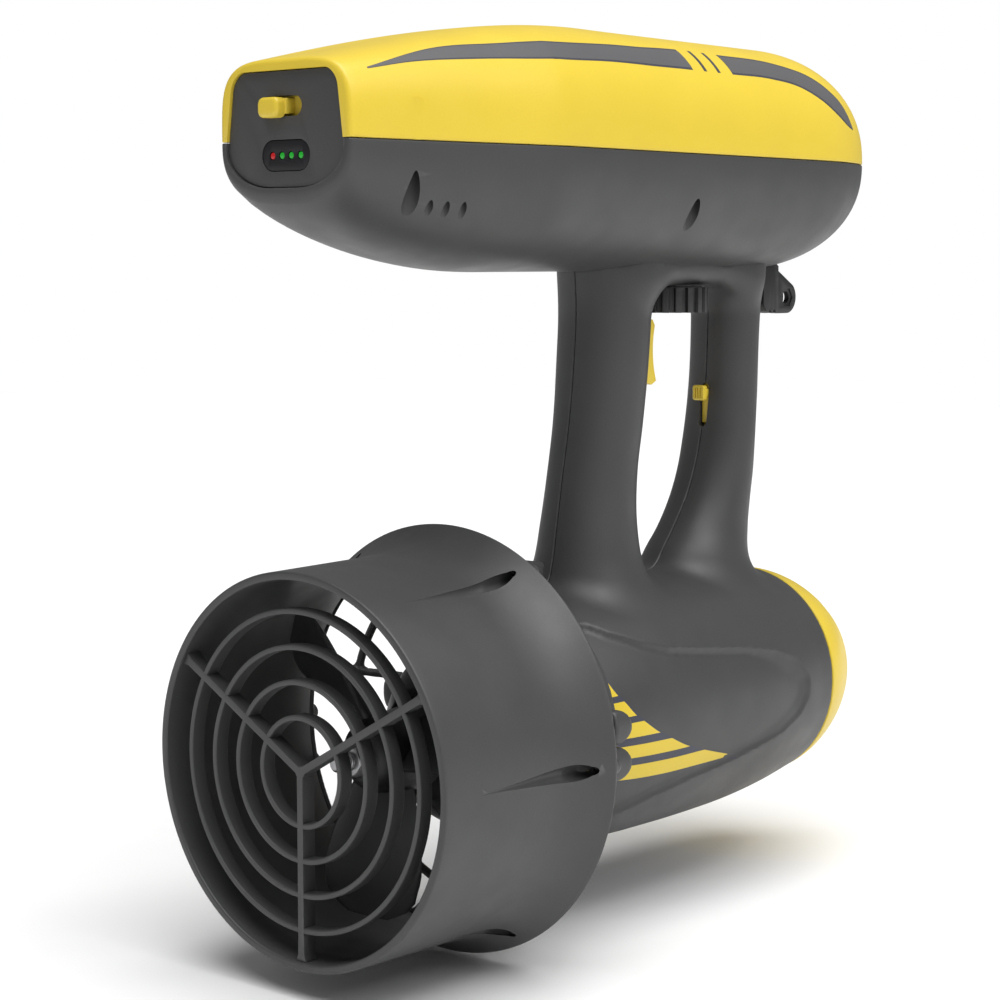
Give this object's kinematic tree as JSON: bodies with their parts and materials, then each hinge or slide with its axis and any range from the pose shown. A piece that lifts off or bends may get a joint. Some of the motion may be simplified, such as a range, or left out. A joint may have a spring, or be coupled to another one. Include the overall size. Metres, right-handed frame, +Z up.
{
  "type": "underwater scooter",
  "caption": "Hand-held underwater scooter with a ducted propeller, trigger grip and a battery pod above it.",
  "frame": {"origin": "on the propeller axis, at the centre of the outlet grille's rear face", "axes": "+X the way the scooter travels, +Y its left-hand side, +Z up towards the pod"},
  "size_m": [0.3342, 0.1604, 0.3429],
  "materials": {
    "yellow_plastic": "satin",
    "dark_plastic": "satin",
    "black_plastic": "satin",
    "rubber": "matte",
    "steel": "satin",
    "can": "satin",
    "windings": "satin",
    "board": "satin",
    "cell": "satin",
    "lens": "gloss",
    "led_red": "gloss",
    "led_green": "gloss"
  },
  "bodies": {
    "root": {"pod_top_cover": "yellow_plastic", "pod_lower_shell": "dark_plastic", "pod_seam_gasket": "rubber", "pod_screw_1": "steel", "pod_screw_2": "steel", "pod_screw_3": "steel", "pod_screw_4": "steel", "camera_mount": "dark_plastic", "housing_right": "dark_plastic", "housing_left": "dark_plastic", "housing_screw_1": "steel", "housing_screw_2": "steel", "housing_screw_3": "steel", "housing_screw_4": "steel", "nose_cap": "yellow_plastic", "nose_gasket": "rubber", "nose_screw_1": "steel", "nose_screw_2": "steel", "nose_screw_3": "steel", "motor_can": "can", "motor_stator": "windings", "rear_bearing": "steel", "front_bearing": "steel", "shaft_seal": "rubber", "motor_controller": "board", "main_cable": "rubber", "duct": "dark_plastic", "duct_screw_1": "steel", "duct_screw_2": "steel", "duct_screw_3": "steel", "duct_screw_4": "steel", "duct_screw_5": "steel", "duct_screw_6": "steel", "intake_guard": "dark_plastic", "outlet_grille": "dark_plastic", "trigger_pin": "steel", "trigger_spring": "steel", "trigger_switch": "black_plastic", "selector_switch": "black_plastic"},
    "drive": {"motor_shaft": "steel", "motor_rotor": "steel", "propeller": "black_plastic", "propeller_nut": "steel"},
    "trigger": {"trigger": "yellow_plastic"},
    "selector": {"speed_selector": "yellow_plastic"},
    "lock_knob": {"pod_lock_knob": "dark_plastic", "knob_stud": "steel"},
    "battery": {"battery_end_cap": "dark_plastic", "battery_tray": "black_plastic", "battery_cell_1": "cell", "battery_cell_2": "cell", "battery_cell_3": "cell", "battery_cell_4": "cell", "battery_gasket": "rubber", "indicator_lens": "lens", "led_red": "led_red", "led_green_1": "led_green", "led_green_2": "led_green", "led_green_3": "led_green"},
    "latch": {"battery_latch": "yellow_plastic"}
  },
  "joints": [
    {"name": "propeller_spin", "type": "hinge", "parent": "root", "child": "drive", "pos_m": [0, 0, 0], "axis": [1, 0, 0], "continuous": true},
    {"name": "trigger_pull", "type": "hinge", "parent": "root", "child": "trigger", "pos_m": [0.18, 0, 0.149], "axis": [0, 1, 0], "range_deg": [0, 12], "stiffness_Nm_per_rad": 0.25, "springref_deg": -11.46},
    {"name": "selector_slide", "type": "slide", "parent": "root", "child": "selector", "axis": [0, 0, -1], "range_m": [0, 0.0085]},
    {"name": "battery_slide", "type": "slide", "parent": "root", "child": "battery", "axis": [-1, 0, 0], "range_m": [0, 0.16]},
    {"name": "latch_slide", "type": "slide", "parent": "battery", "child": "latch", "axis": [0, -1, 0], "range_m": [0, 0.0054]},
    {"name": "lock_knob_turn", "type": "hinge", "parent": "root", "child": "lock_knob", "pos_m": [0.2095, 0, 0.155], "axis": [0, 0, 1], "continuous": true}
  ]
}
